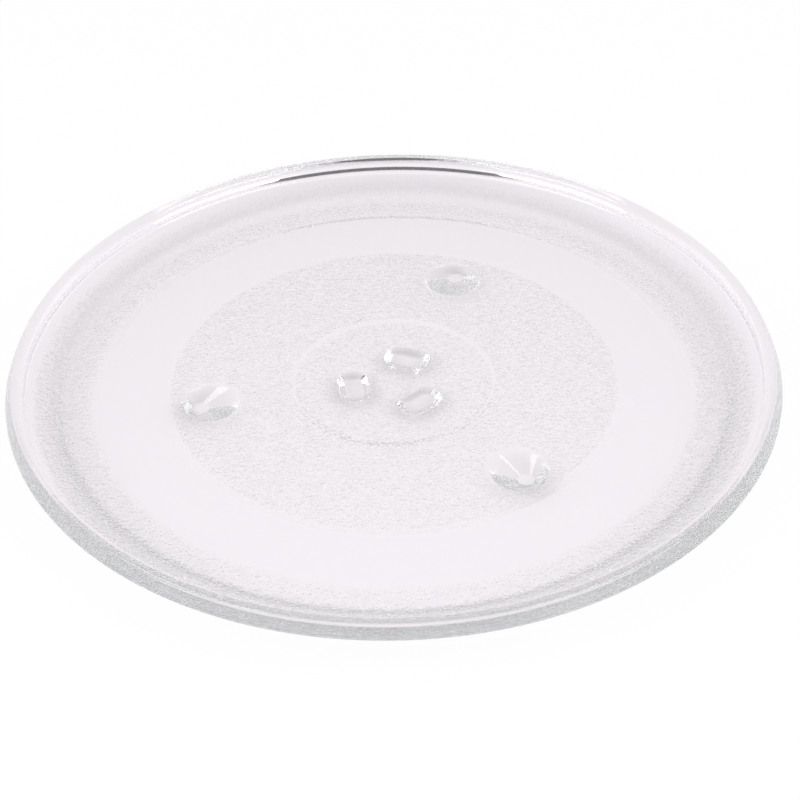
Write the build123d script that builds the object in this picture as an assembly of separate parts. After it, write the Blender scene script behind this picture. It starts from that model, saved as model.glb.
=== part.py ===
from build123d import *
import os
from math import atan2, cos, hypot, pi, radians, sin, tan

# Microwave turntable plate, one piece of pressed glass.
# Lengths are in millimetres and angles in degrees. The origin is on the turning axis, at the
# level that the feet stand on, and +Z points up, out of the dish.

# Floor
plate_diameter = 315.0
floor_thickness = 5.0

# Rim: a sloping wall, a steep lip with a rounded crest, a leaning outer edge and the flare below it
rim_height = 11.3  # crest over the upper face of the floor
wall_angle = 24.4
wall_bend = 12.0
lip_foot_height = 4.7  # where wall and lip would meet unrounded, over the upper face of the floor
lip_angle = 83.8
lip_fillet = 2.4
crest_inner_radius = 2.9
crest_flat = 0.8
crest_outer_radius = 1.7
edge_height = 6.4  # crest down to where edge and flare would meet unrounded
edge_lean = 24.4  # from upright, inwards towards the crest
edge_corner = 1.2
flare_angle = 23.0
flare_bend = 10.0

# Roller track and middle pad on the underside
track_inset = 37.7  # edge of the plate to the outer side of the track
track_width = 24.5
track_depth = 0.4
pad_diameter = 79.0
pad_height = 0.5
ramp_width = 3.5  # every smooth step between two levels of the underside

# Feet: leaning cones, with the flat nearer to the edge of the plate than the base
foot_count = 3
foot_height = 5.0
foot_base_diameter = 24.0
foot_flat_diameter = 6.6
foot_lean = 4.6
foot_gap = 4.3  # foot to the inner ramp of the track
foot_blend = 4.0
foot_edge = 0.6

# Drive lugs round the middle
lug_count = 3
lug_height = 4.0
lug_circle_diameter = 33.0
lug_length = 13.4  # round the circle, at the flat end
lug_width = 7.2  # across the circle, at the flat end
lug_corner = 2.4
lug_draft = 36.0
lug_blend = 1.2
lug_edge = 0.6

# Feet and lugs stand on the same three rays
first_ray = 69.3

# Levels and radii that follow
edge_radius = plate_diameter / 2
underside_z = foot_height
floor_z = underside_z + floor_thickness
crest_z = floor_z + rim_height
track_z = underside_z + track_depth
pad_z = underside_z - pad_height
track_outer = edge_radius - track_inset
track_inner = track_outer - track_width
pad_radius = pad_diameter / 2
foot_base_radius = foot_base_diameter / 2
foot_circle_radius = track_inner - ramp_width - foot_gap - foot_base_radius

level_margin = 0.01  # within it, two heights count as one level


def rim_corners():
    """Corners of the rim before rounding, from the flare's foot on the underside up over the crest to
    the wall's foot on the floor, each with the radius that rounds it."""
    flare, lean, lip = radians(flare_angle), radians(edge_lean), radians(lip_angle)

    # Rounding takes the corner of edge and flare back to the outside of the plate
    overhang = edge_corner * ((cos(flare) + sin(lean)) / cos(lean - flare) - 1)
    edge_foot = (edge_radius + overhang, crest_z - edge_height)
    flare_foot = (edge_foot[0] - (edge_foot[1] - underside_z) / tan(flare), underside_z)
    crest_outer = (edge_foot[0] - edge_height * tan(lean), crest_z)

    # The crest is as wide as its flat and the cuts of its two roundings
    outer_cut = crest_outer_radius * tan((pi / 2 - lean) / 2)
    inner_cut = crest_inner_radius * tan(lip / 2)
    crest_inner = (crest_outer[0] - outer_cut - crest_flat - inner_cut, crest_z)
    lip_foot = (crest_inner[0] - (rim_height - lip_foot_height) / tan(lip), floor_z + lip_foot_height)
    wall_foot = (lip_foot[0] - lip_foot_height / tan(radians(wall_angle)), floor_z)
    return [
        (flare_foot, flare_bend),
        (edge_foot, edge_corner),
        (crest_outer, crest_outer_radius),
        (crest_inner, crest_inner_radius),
        (lip_foot, lip_fillet),
        (wall_foot, wall_bend),
    ]


def heading(start, end):
    """Unit direction from one point of the half section to another."""
    length = hypot(end[0] - start[0], end[1] - start[1])
    return ((end[0] - start[0]) / length, (end[1] - start[1]) / length)


def along(point, direction, distance):
    """Point of the half section at a distance from another in a direction."""
    return (point[0] + distance * direction[0], point[1] + distance * direction[1])


def rounded_edges(start, corners, end):
    """Straight edges from start to end past the corners, with an arc of its own radius in each corner."""
    points = [start, *[corner for corner, radius in corners], end]
    edges = []
    for (corner, radius), before, after in zip(corners, points, points[2:]):
        entry = heading(before, corner)
        leave = heading(corner, after)
        turn = atan2(entry[0] * leave[1] - entry[1] * leave[0], entry[0] * leave[0] + entry[1] * leave[1])
        cut = radius * tan(abs(turn) / 2)
        arc_start = along(corner, entry, -cut)
        arc_end = along(corner, leave, cut)
        edges += [Line(start, arc_start), TangentArc(arc_start, arc_end, tangent=entry)]
        start = arc_end
    return [*edges, Line(start, end)]


def ramp(start, end):
    """Smooth step between two flat levels: two equal arcs, flat where they meet the levels."""
    middle = ((start[0] + end[0]) / 2, (start[1] + end[1]) / 2)
    return [TangentArc(start, middle, tangent=(1, 0)), TangentArc(end, middle, tangent=(-1, 0))]


def plate_section():
    """Half section of the plate on the axis, without feet and lugs: the underside outwards with its
    middle pad and track, round the rim, and back over the floor."""
    pad_edge = (pad_radius, pad_z)
    pad_foot = (pad_radius + ramp_width, underside_z)
    inner_foot = (track_inner - ramp_width, underside_z)
    inner_edge = (track_inner, track_z)
    outer_edge = (track_outer, track_z)
    outer_foot = (track_outer + ramp_width, underside_z)
    edges = [
        Line((0, pad_z), pad_edge),
        *ramp(pad_edge, pad_foot),
        Line(pad_foot, inner_foot),
        *ramp(inner_foot, inner_edge),
        Line(inner_edge, outer_edge),
        *ramp(outer_edge, outer_foot),
        *rounded_edges(outer_foot, rim_corners(), (0, floor_z)),
        Line((0, floor_z), (0, pad_z)),
    ]
    return Plane.XZ * make_face(Curve() + edges)


def foot():
    """One foot on the +X ray: a leaning cone down to its flat, with a rounded edge round the flat."""
    base = Pos(foot_circle_radius, 0, underside_z) * Circle(foot_base_radius)
    flat = Pos(foot_circle_radius + foot_lean, 0, 0) * Circle(foot_flat_diameter / 2)
    cone = loft([flat, base])
    rim = cone.edges().sort_by(Axis.Z)[0]
    return fillet(rim, foot_edge)


def lug():
    """One drive lug on the +X ray: a rounded block with drafted sides, widening up to the pad."""
    block = RectangleRounded(lug_width, lug_length, lug_corner)
    flat = Pos(lug_circle_diameter / 2, 0, pad_z - lug_height) * block
    body = extrude(flat, lug_height, dir=(0, 0, 1), taper=-lug_draft)
    rim = body.faces().sort_by(Axis.Z)[0].edges()
    return fillet(rim, lug_edge)


def on_rays(piece, count):
    """Copies of a piece from the +X ray, evenly round the axis from the first ray."""
    return [Rot(0, 0, first_ray + 360 / count * turn) * piece for turn in range(count)]


def base_edges(plate, level, inner, outer):
    """Level edges at one height of the underside whose middles lie between two radii: boss bases."""
    found = ShapeList()
    for edge in plate.edges():
        box = edge.bounding_box()
        middle = box.center()
        is_level = box.size.Z < level_margin and abs(middle.Z - level) < level_margin
        if is_level and inner < hypot(middle.X, middle.Y) < outer:
            found.append(edge)
    return found


def turntable_plate():
    """The whole plate: turned section, feet and lugs, with their bases blended into the underside."""
    plate = revolve(plate_section(), Axis.Z)
    plate = plate + on_rays(foot(), foot_count)
    plate = plate + on_rays(lug(), lug_count)
    feet = base_edges(plate, underside_z, pad_radius + ramp_width, track_inner - ramp_width)
    plate = fillet(feet, foot_blend)
    lugs = base_edges(plate, pad_z, level_margin, pad_radius)
    return fillet(lugs, lug_blend)


os.makedirs("parts", exist_ok=True)
export_step(turntable_plate(), "parts/turntable_plate.step")
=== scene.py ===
from math import ceil, cos, pi, radians, sin, tan

import bpy
import numpy as np
from mathutils import Matrix, Vector


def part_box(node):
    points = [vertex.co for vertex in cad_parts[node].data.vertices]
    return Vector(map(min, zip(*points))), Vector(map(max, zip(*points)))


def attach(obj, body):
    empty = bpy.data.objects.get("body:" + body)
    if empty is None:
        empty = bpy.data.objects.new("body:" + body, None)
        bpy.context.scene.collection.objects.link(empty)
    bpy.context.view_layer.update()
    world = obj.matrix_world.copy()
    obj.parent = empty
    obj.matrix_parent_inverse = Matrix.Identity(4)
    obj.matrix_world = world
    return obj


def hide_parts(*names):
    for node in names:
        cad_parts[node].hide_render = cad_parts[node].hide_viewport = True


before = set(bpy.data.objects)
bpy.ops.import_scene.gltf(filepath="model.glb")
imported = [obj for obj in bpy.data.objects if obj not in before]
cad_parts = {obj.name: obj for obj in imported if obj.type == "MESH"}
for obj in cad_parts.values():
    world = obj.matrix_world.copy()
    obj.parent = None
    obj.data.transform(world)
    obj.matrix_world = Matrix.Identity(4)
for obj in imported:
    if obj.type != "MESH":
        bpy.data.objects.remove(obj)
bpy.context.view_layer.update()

# Sizes of the plate, in millimetres and degrees, in the frame of the solid
MM = 0.001
edge_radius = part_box("turntable_plate")[1][0] / MM
floor_thickness = 5.0
rim_height = 11.3
wall_angle = 24.4
wall_bend = 12.0
lip_foot_height = 4.7
lip_angle = 83.8
lip_fillet = 2.4
crest_inner_radius = 2.9
crest_flat = 0.8
crest_outer_radius = 1.7
edge_height = 6.4
edge_lean = 24.4
edge_corner = 1.2
flare_angle = 23.0
flare_bend = 10.0
track_inset = 37.7
track_width = 24.5
track_depth = 0.4
pad_radius = 39.5
pad_height = 0.5
ramp_width = 3.5
foot_height = 5.0
foot_base_radius = 12.0
foot_flat_radius = 3.3
foot_lean = 4.6
foot_gap = 4.3
foot_blend = 4.0
foot_edge = 0.6
lug_height = 4.0
lug_circle_radius = 16.5
lug_length = 13.4
lug_width = 7.2
lug_corner = 2.4
lug_draft = 36.0
lug_blend = 1.2
lug_edge = 0.6
rays = 3
first_ray = 69.3

# Stipple, in millimetres
stipple_inset = (8.0, 11.5)  # on the flare, from the edge of the plate: where stipple starts and is full
stipple_margin = 4.0  # from the track to where stipple is full
stipple_fade = 1.2  # over which it ends there
stipple_line = 1.0  # half the width of the line round the pad in which it thins out
stipple_boss = 0.8  # how far up the side of a foot or lug, carried on past its base, is where it is full
bump_size = 1.7
bump_depth = 0.42
patch_size = 2.0

# Levels and radii that follow
underside_z = foot_height
floor_z = underside_z + floor_thickness
crest_z = floor_z + rim_height
track_outer = edge_radius - track_inset
track_inner = track_outer - track_width
foot_circle_radius = track_inner - ramp_width - foot_gap - foot_base_radius


def hex_linear(code):
    """Linear colour of an sRGB hex code."""
    srgb = np.array([int(code[i:i + 2], 16) / 255 for i in (1, 3, 5)])
    linear = np.where(srgb <= 0.04045, srgb / 12.92, ((srgb + 0.055) / 1.055) ** 2.4)
    return (*linear, 1.0)


def rounded_rings(corners, bends):
    """Rings along a broken line in the half section, with its inner corners rounded, as radius, height
    and normal.

    A corner is cut back on both sides by its bend times the tangent of half its turn. The arc between
    the cuts has its centre a bend to the side of the turn, and the normal is the direction of travel
    turned a quarter to the left."""
    arc_step = radians(5)
    noise = 0.001  # keeps a whole number of steps whole
    corner = np.array(corners, dtype=float)
    leg = np.diff(corner, axis=0)
    heading = np.arctan2(leg[:, 1], leg[:, 0])
    turn = (np.diff(heading) + pi) % (2 * pi) - pi
    rings = []
    for point, start, swing, bend in zip(corner[1:-1], heading, turn, bends):
        cut = bend * tan(abs(swing) / 2)
        angle = start + swing * np.linspace(0, 1, 1 + ceil(abs(swing) / arc_step - noise))
        normal = np.stack([-np.sin(angle), np.cos(angle)], axis=1)
        first = point - cut * np.array([cos(start), sin(start)])
        side = np.sign(swing)
        rings.append(np.hstack([first + side * bend * (normal[0] - normal), normal]))
    return np.vstack(rings)


def rim_rings():
    """Half section from the wall's foot over the rim to the underside: sloping wall, steep lip with a
    rounded crest, leaning outer edge and flare, with two rings on the flare where its stipple fades."""
    lean, flare, lip = radians(edge_lean), radians(flare_angle), radians(lip_angle)
    overhang = edge_corner * ((cos(flare) + sin(lean)) / cos(lean - flare) - 1)
    edge_foot = (edge_radius + overhang, crest_z - edge_height)
    crest_outer = (edge_foot[0] - edge_height * tan(lean), crest_z)
    inner_cut = crest_inner_radius * tan(lip / 2)
    outer_cut = crest_outer_radius * tan((pi / 2 - lean) / 2)
    crest_inner = (crest_outer[0] - outer_cut - crest_flat - inner_cut, crest_z)
    lip_foot = (crest_inner[0] - (rim_height - lip_foot_height) / tan(lip), floor_z + lip_foot_height)
    wall_foot = (lip_foot[0] - lip_foot_height / tan(radians(wall_angle)), floor_z)
    flare_foot = (edge_foot[0] - (edge_foot[1] - underside_z) / tan(flare), underside_z)
    fade = [(edge_radius - away, edge_foot[1] - (overhang + away) * tan(flare)) for away in stipple_inset]
    upper = [(0, floor_z), wall_foot, lip_foot, crest_inner, crest_outer]
    lower = [edge_foot, *fade, flare_foot, (0, underside_z)]
    bends = [wall_bend, lip_fillet, crest_inner_radius, crest_outer_radius, edge_corner, 0, 0, flare_bend]
    return rounded_rings(upper + lower, bends)


def ramp(x):
    """Step from 0 to 1 over 0 to 1: a straight slope with a parabola over a fifth of it at each end."""
    bend = 0.2
    x = np.clip(x, 0, 1)
    low = np.minimum(x, 1 - x)
    rise = np.where(low < bend, low**2 / (2 * bend), low - bend / 2) / (1 - bend)
    return np.where(x < 0.5, rise, 1 - rise)


def soft_max(a, b, reach):
    """The larger of two heights, with a parabola across the corner where they are closer than reach."""
    near = np.maximum(reach - np.abs(a - b), 0)
    return np.maximum(a, b) + near**2 / (4 * reach)


def fillet_reach(radius, slope):
    """Reach for soft_max whose parabola spans as far across the corner of a flat and a slope as a fillet
    of the radius: half the radius times the squared slope over the length of (1, slope)."""
    return radius * slope**2 / (2 * np.sqrt(1 + slope**2))


def foot_drop(x, y):
    """How far a foot on the +X ray reaches below the underside at a point, and how steep it is there.

    The circle of the leaning cone at a share t of its drop has its centre lean * t from the base
    centre and a radius that shrinks by shrink * t. The point lies on it where
    |p - lean t|^2 = (base - shrink t)^2, a quadratic in t. The slope is the height over what the cone
    draws in, shrink less lean times the cosine of the point's bearing from the circle's centre."""
    px = x - foot_circle_radius
    shrink = foot_base_radius - foot_flat_radius
    a = foot_lean**2 - shrink**2
    b = 2 * (foot_base_radius * shrink - px * foot_lean)
    c = px**2 + y**2 - foot_base_radius**2
    t = (-b + np.sqrt(np.maximum(b**2 - 4 * a * c, 0))) / (2 * a)
    bearing = np.arctan2(y, px - foot_lean * t)
    slope = foot_height / (shrink - foot_lean * np.cos(bearing))
    return -soft_max(-foot_height * t, -foot_height, fillet_reach(foot_edge, slope)), slope


def lug_drop(x, y):
    """How far a drive lug on the +X ray reaches below the pad at a point, its height less the distance
    from the rounded outline of its flat end over the tangent of the draft, and how steep it is."""
    qx = np.abs(x - lug_circle_radius) - lug_width / 2 + lug_corner
    qy = np.abs(y) - lug_length / 2 + lug_corner
    away = np.hypot(np.maximum(qx, 0), np.maximum(qy, 0)) + np.minimum(np.maximum(qx, qy), 0) - lug_corner
    slope = 1 / tan(radians(lug_draft))
    return -soft_max(away * slope - lug_height, -lug_height, fillet_reach(lug_edge, slope)), slope


def onto_ray(x, y):
    """A point turned about the axis onto the +X ray, from the ray of the foot and lug nearest to it."""
    r = np.hypot(x, y)
    sector = 2 * pi / rays
    turn = (np.arctan2(y, x) - radians(first_ray) + sector / 2) % sector - sector / 2
    return r * np.cos(turn), r * np.sin(turn)


def underside(x, y):
    """Height of the underside at a point, with the track, the middle pad, the feet and the lugs.

    One foot and one lug on the +X ray stand for all of them. Smooth maxima blend them into the flat."""
    r = np.hypot(x, y)
    inner, outer = track_inner - ramp_width, track_outer + ramp_width
    track = ramp((r - inner) / ramp_width) * ramp((outer - r) / ramp_width)
    pad = ramp((pad_radius + ramp_width - r) / ramp_width)
    foot, foot_slope = foot_drop(*onto_ray(x, y))
    lug, lug_slope = lug_drop(*onto_ray(x, y))
    foot = soft_max(foot, 0, fillet_reach(foot_blend, foot_slope))
    lug = soft_max(lug, 0, fillet_reach(lug_blend, lug_slope))
    return underside_z + track_depth * track - pad_height * pad - foot - lug


def columns():
    """Angles of the grid's columns, close together over the feet and wider apart between them."""
    fine, fine_steps, wide_steps = 11.0, 60, 38
    half = 180 / rays
    sector = np.concatenate([
        np.linspace(-half, -fine, wide_steps, endpoint=False),
        np.linspace(-fine, fine, fine_steps, endpoint=False),
        np.linspace(fine, half, wide_steps, endpoint=False),
    ])
    return np.radians((first_ray + 360 / rays * np.arange(rays)[:, None] + sector).ravel())


def underside_radii(outer):
    """Radii of the grid's rings on the underside, from the outer bend to the axis: stretches from one
    radius to the next, close together over the steps, the feet and the lugs."""
    feet_inner, lugs_outer, lugs_inner, last = 62.0, 26.0, 5.0, 0.5
    ramp_steps = 10
    stretches = [
        (outer - 1.0, 3),
        (track_outer + ramp_width, ramp_steps),
        (track_outer, 4),
        (track_inner, ramp_steps),
        (track_inner - ramp_width, 56),
        (feet_inner, 5),
        (pad_radius + ramp_width, ramp_steps),
        (pad_radius, 4),
        (lugs_outer, 54),
        (lugs_inner, 4),
        (last, 0),
    ]
    pairs = zip(stretches, stretches[1:])
    return np.concatenate([np.linspace(a, b, n, endpoint=False) for (a, n), (b, _) in pairs])


def stipple_mask(x, y, is_below):
    """How far each point is stippled, 0 to 1: the underside and the inner part of the flare, but not the
    track, the line round the pad, the feet and the lugs. Each of them fades over a short way."""
    r = np.hypot(x, y)
    start, full = stipple_inset
    flare = np.clip((edge_radius - start - r) / (full - start), 0, 1)
    track = ramp((r - track_inner + stipple_margin) / stipple_fade)
    track = track * ramp((track_outer + stipple_margin - r) / stipple_fade)
    line = np.clip(stipple_line - np.abs(r - pad_radius - ramp_width / 2), 0, 1)
    foot = ramp(foot_drop(*onto_ray(x, y))[0] / stipple_boss + 1)
    lug = ramp(lug_drop(*onto_ray(x, y))[0] / stipple_boss + 1)
    return is_below * flare * (1 - np.maximum(track, line)) * (1 - np.maximum(foot, lug))


def light_passed(x, y, upright):
    """Share of the light on each point that goes on straight, 0 to 1. The thick rim spreads most of it,
    so less is left towards the edge. Within, less is left where a foot or a lug is steep, by the
    upright part of the normal there."""
    through_flat, through_rim = 0.938, 0.3
    rim_inset = (10, 4)  # from the edge of the plate: where the rim takes light away, and takes most
    r = np.hypot(x, y)
    rim = np.interp(r, [edge_radius - away for away in rim_inset], (through_flat, through_rim))
    floor = np.interp(np.abs(upright), (0.6, 0.9, 1), (0.4, 0.76, through_flat))
    return np.where(r > track_outer + ramp_width, rim, floor)


def plate_mesh():
    """Closed surface of the whole plate on a grid of rings and columns.

    Rings of the rim are the half section turned round the axis. Rings of the underside lie on its
    height function, and their normals are its slopes. A point at each end closes the grid."""
    theta = columns()
    rim = rim_rings()
    radius = underside_radii(rim[-1, 0])
    reach = np.concatenate([rim[:, 0], radius])
    rings, count = len(reach), len(theta)
    x, y = reach[:, None] * np.cos(theta), reach[:, None] * np.sin(theta)
    step = 0.02
    ux, uy = x[len(rim):], y[len(rim):]
    slope_x = (underside(ux + step, uy) - underside(ux - step, uy)) / (2 * step)
    slope_y = (underside(ux, uy + step) - underside(ux, uy - step)) / (2 * step)
    below = np.stack([slope_x, slope_y, -np.ones_like(ux)], axis=-1)
    below /= np.linalg.norm(below, axis=-1, keepdims=True)
    out = np.stack([np.cos(theta), np.sin(theta), np.zeros(count)], axis=-1)
    above = rim[:, 2, None, None] * out + rim[:, 3, None, None] * np.array([0, 0, 1])
    z = np.vstack([np.tile(rim[:, 1, None], (1, count)), underside(ux, uy)])
    ends = [(0, 0, floor_z), (0, 0, underside(np.zeros(1), np.zeros(1))[0])]
    points = np.vstack([np.stack([x, y, z], axis=-1).reshape(-1, 3), ends])
    normals = np.vstack([above.reshape(-1, 3), below.reshape(-1, 3), (0, 0, 1), (0, 0, -1)])

    here = np.arange(rings * count).reshape(rings, count)
    right = np.roll(here, -1, axis=1)
    quads = np.stack([here[:-1], here[1:], right[1:], right[:-1]], axis=-1).reshape(-1, 4)
    cap = np.stack([np.full(count, rings * count), here[0], right[0]], axis=1)
    base = np.stack([np.full(count, rings * count + 1), right[-1], here[-1]], axis=1)
    mesh = bpy.data.meshes.new("pressed_glass_plate")
    mesh.from_pydata((points * MM).tolist(), [], quads.tolist() + cap.tolist() + base.tolist())
    mesh.shade_smooth()
    mesh.normals_split_custom_set_from_vertices(normals.tolist())
    side, ahead, upright = points[:, 0], points[:, 1], normals[:, 2]
    mask = stipple_mask(side, ahead, upright < 0)
    passed = light_passed(side, ahead, upright)
    mesh.attributes.new("stipple", "FLOAT", "POINT").data.foreach_set("value", mask)
    mesh.attributes.new("passed", "FLOAT", "POINT").data.foreach_set("value", passed)
    return mesh


def add_node(tree, kind, inputs=(), **settings):
    """Adds a node. Settings go to the node, and inputs, by name or number, are values or outputs."""
    node = tree.nodes.new(kind)
    for name, value in settings.items():
        setattr(node, name, value)
    for name, value in dict(inputs).items():
        if isinstance(value, bpy.types.NodeSocket):
            tree.links.new(value, node.inputs[name])
        else:
            node.inputs[name].default_value = value
    return node


def new_tree(owner):
    """Empty shader tree of a material or the world."""
    owner.use_nodes = True
    owner.node_tree.nodes.clear()
    return owner.node_tree


def pressed_glass():
    """Clear soda-lime glass, pressed in a mould and fire-polished: sharp gloss, and a faint green where
    light goes a long way in it. Its pebbled underside, bumps with patches of more and less haze, breaks
    up what lies behind it and looks greyer than the smooth track. Lamps shine through it onto the floor."""
    material = bpy.data.materials.new("pressed_soda_lime_glass")
    tree = new_tree(material)
    place = add_node(tree, "ShaderNodeTexCoord").outputs["Object"]
    mask = add_node(tree, "ShaderNodeAttribute", attribute_name="stipple").outputs["Fac"]
    bumps = add_node(tree, "ShaderNodeTexNoise", {
        "Vector": place, "Scale": 1 / (bump_size * MM), "Detail": 2.0, "Roughness": 0.6,
    })
    patches = add_node(tree, "ShaderNodeTexNoise", {
        "Vector": place, "Scale": 1 / (patch_size * MM), "Detail": 1.0,
    })
    middle = {0: bumps.outputs["Fac"], 1: 0.5}
    level = add_node(tree, "ShaderNodeMath", middle, operation="SUBTRACT")
    height = add_node(tree, "ShaderNodeMath", {0: level.outputs[0], 1: mask}, operation="MULTIPLY")
    bump = add_node(tree, "ShaderNodeBump", {"Distance": bump_depth * MM, "Height": height.outputs[0]})
    rough = add_node(tree, "ShaderNodeMapRange", {
        "Value": patches.outputs["Fac"], "From Min": 0.3, "From Max": 0.7, "To Min": 0.12, "To Max": 0.54,
    })
    haze = add_node(tree, "ShaderNodeMapRange", {"Value": mask, "To Min": 0.02, "To Max": rough.outputs[0]})
    glass = add_node(tree, "ShaderNodeBsdfPrincipled", {
        "Base Color": hex_linear("#FFFAFF"),
        "Roughness": haze.outputs[0],
        "IOR": 1.52,
        "Transmission Weight": 1.0,
        "Normal": bump.outputs[0],
    })
    path = add_node(tree, "ShaderNodeLightPath").outputs
    lit = {0: path["Is Shadow Ray"], 1: path["Is Diffuse Ray"]}
    through = add_node(tree, "ShaderNodeMath", lit, operation="MAXIMUM")
    passed = add_node(tree, "ShaderNodeAttribute", attribute_name="passed").outputs["Fac"]
    clear = add_node(tree, "ShaderNodeBsdfTransparent", {"Color": passed})
    sides = {0: through.outputs[0], 1: glass.outputs[0], 2: clear.outputs[0]}
    mix = add_node(tree, "ShaderNodeMixShader", sides)
    tint = add_node(tree, "ShaderNodeVolumeAbsorption", {"Color": hex_linear("#BFE0D2"), "Density": 1.4})
    add_node(tree, "ShaderNodeOutputMaterial", {"Surface": mix.outputs[0], "Volume": tint.outputs[0]})
    return material


def white_floor():
    """Plain white paper. Seen straight it is nearly even white, with a faint shadow of the plate. What
    the glass shows of it keeps more of that shadow."""
    material = bpy.data.materials.new("white_paper")
    tree = new_tree(material)
    paper = add_node(tree, "ShaderNodeBsdfDiffuse", {"Color": hex_linear("#FAFAFA")})
    white = add_node(tree, "ShaderNodeEmission", {"Color": hex_linear("#FFFFFF"), "Strength": 1.0})
    path = add_node(tree, "ShaderNodeLightPath").outputs
    ray_kinds = {0: path["Is Glossy Ray"], 1: path["Is Transmission Ray"]}
    bent = add_node(tree, "ShaderNodeMath", ray_kinds, operation="MAXIMUM")
    bent_share = add_node(tree, "ShaderNodeMath", {0: bent.outputs[0], 1: 0.2}, operation="MULTIPLY")
    straight = {0: path["Is Camera Ray"], 1: 0.95, 2: bent_share.outputs[0]}
    share = add_node(tree, "ShaderNodeMath", straight, operation="MULTIPLY_ADD")
    sides = {0: share.outputs[0], 1: paper.outputs[0], 2: white.outputs[0]}
    mix = add_node(tree, "ShaderNodeMixShader", sides)
    add_node(tree, "ShaderNodeOutputMaterial", {"Surface": mix.outputs[0]})
    return material


def add_plate():
    """The plate's own piece, in place of the plain solid."""
    plate = bpy.data.objects.new("pressed_glass_plate", plate_mesh())
    bpy.context.collection.objects.link(plate)
    plate.data.materials.append(pressed_glass())
    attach(plate, "root")
    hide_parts("turntable_plate")


def add_floor():
    """Floor that the feet stand on, a hair below their flats so that no two faces share a plane."""
    half = 3.0
    gap = 0.1 * MM
    z = -gap
    mesh = bpy.data.meshes.new("floor")
    corners = [(-half, -half, z), (half, -half, z), (half, half, z), (-half, half, z)]
    mesh.from_pydata(corners, [], [(0, 1, 2, 3)])
    mesh.materials.append(white_floor())
    floor = bpy.data.objects.new("floor", mesh)
    bpy.context.collection.objects.link(floor)


def add_camera():
    """Camera above the front edge, turned slightly about its own axis."""
    distance = 0.8308
    elevation, roll = 37.86, -1.34
    aim_depth = 2.4  # below the upper face of the floor
    aim = Vector((0, 0, (floor_z - aim_depth) * MM))
    data = bpy.data.cameras.new("camera")
    data.sensor_width = 36.0
    data.lens = 90.7
    data.shift_x = 0.0081
    data.shift_y = -0.025
    camera = bpy.data.objects.new("camera", data)
    bpy.context.collection.objects.link(camera)
    away = Vector((0, -cos(radians(elevation)), sin(radians(elevation))))
    turn = away.to_track_quat("Z", "Y").to_matrix().to_4x4() @ Matrix.Rotation(radians(roll), 4, "Z")
    camera.matrix_world = Matrix.Translation(aim + away * distance) @ turn
    bpy.context.scene.camera = camera


def add_soft_box(name, azimuth, elevation, distance, width, height, radiance):
    """Soft box that faces the plate. Its power is the radiance times pi times its area."""
    data = bpy.data.lights.new(name, "AREA")
    data.shape = "RECTANGLE"
    data.size, data.size_y = width, height
    data.energy = radiance * pi * width * height
    lamp = bpy.data.objects.new(name, data)
    bpy.context.collection.objects.link(lamp)
    a, e = radians(azimuth), radians(elevation)
    away = Vector((cos(a) * cos(e), sin(a) * cos(e), sin(e)))
    turn = away.to_track_quat("Z", "Y").to_matrix().to_4x4()
    lamp.matrix_world = Matrix.Translation(away * distance) @ turn


def add_world():
    """Studio round the plate: pale all round, paler towards the horizon, and dark round the camera."""
    world = bpy.data.worlds.new("studio")
    bpy.context.scene.world = world
    tree = new_tree(world)
    way = add_node(tree, "ShaderNodeTexCoord").outputs["Generated"]
    dark_side = (0, -0.87, 0.5)
    ahead = add_node(tree, "ShaderNodeVectorMath", {0: way, 1: dark_side}, operation="DOT_PRODUCT")
    up = add_node(tree, "ShaderNodeSeparateXYZ", {0: way}).outputs["Z"]
    pale = add_node(tree, "ShaderNodeMapRange", {
        "Value": up, "From Min": 0.35, "From Max": 0.65, "To Min": 0.9, "To Max": 0.73,
    }, interpolation_type="SMOOTHSTEP")
    level = add_node(tree, "ShaderNodeMapRange", {
        "Value": ahead.outputs["Value"],
        "From Min": 0.75,
        "From Max": 0.88,
        "To Min": pale.outputs[0],
        "To Max": 0.15,
    }, interpolation_type="SMOOTHSTEP")
    glow = {"Color": hex_linear("#FFFFFF"), "Strength": level.outputs[0]}
    sky = add_node(tree, "ShaderNodeBackground", glow)
    add_node(tree, "ShaderNodeOutputWorld", {"Surface": sky.outputs[0]})


add_plate()
add_floor()
add_camera()
for name, azimuth in (("soft_box_left", 211), ("soft_box_right", -31)):
    add_soft_box(name, azimuth, elevation=40, distance=1.2, width=0.85, height=0.5, radiance=3.8)
add_world()
scene = bpy.context.scene
scene.view_settings.view_transform = "Standard"

# Light is reflected many times within thick glass before it leaves
scene.cycles.max_bounces = 32
scene.cycles.glossy_bounces = 24
scene.cycles.transmission_bounces = 24
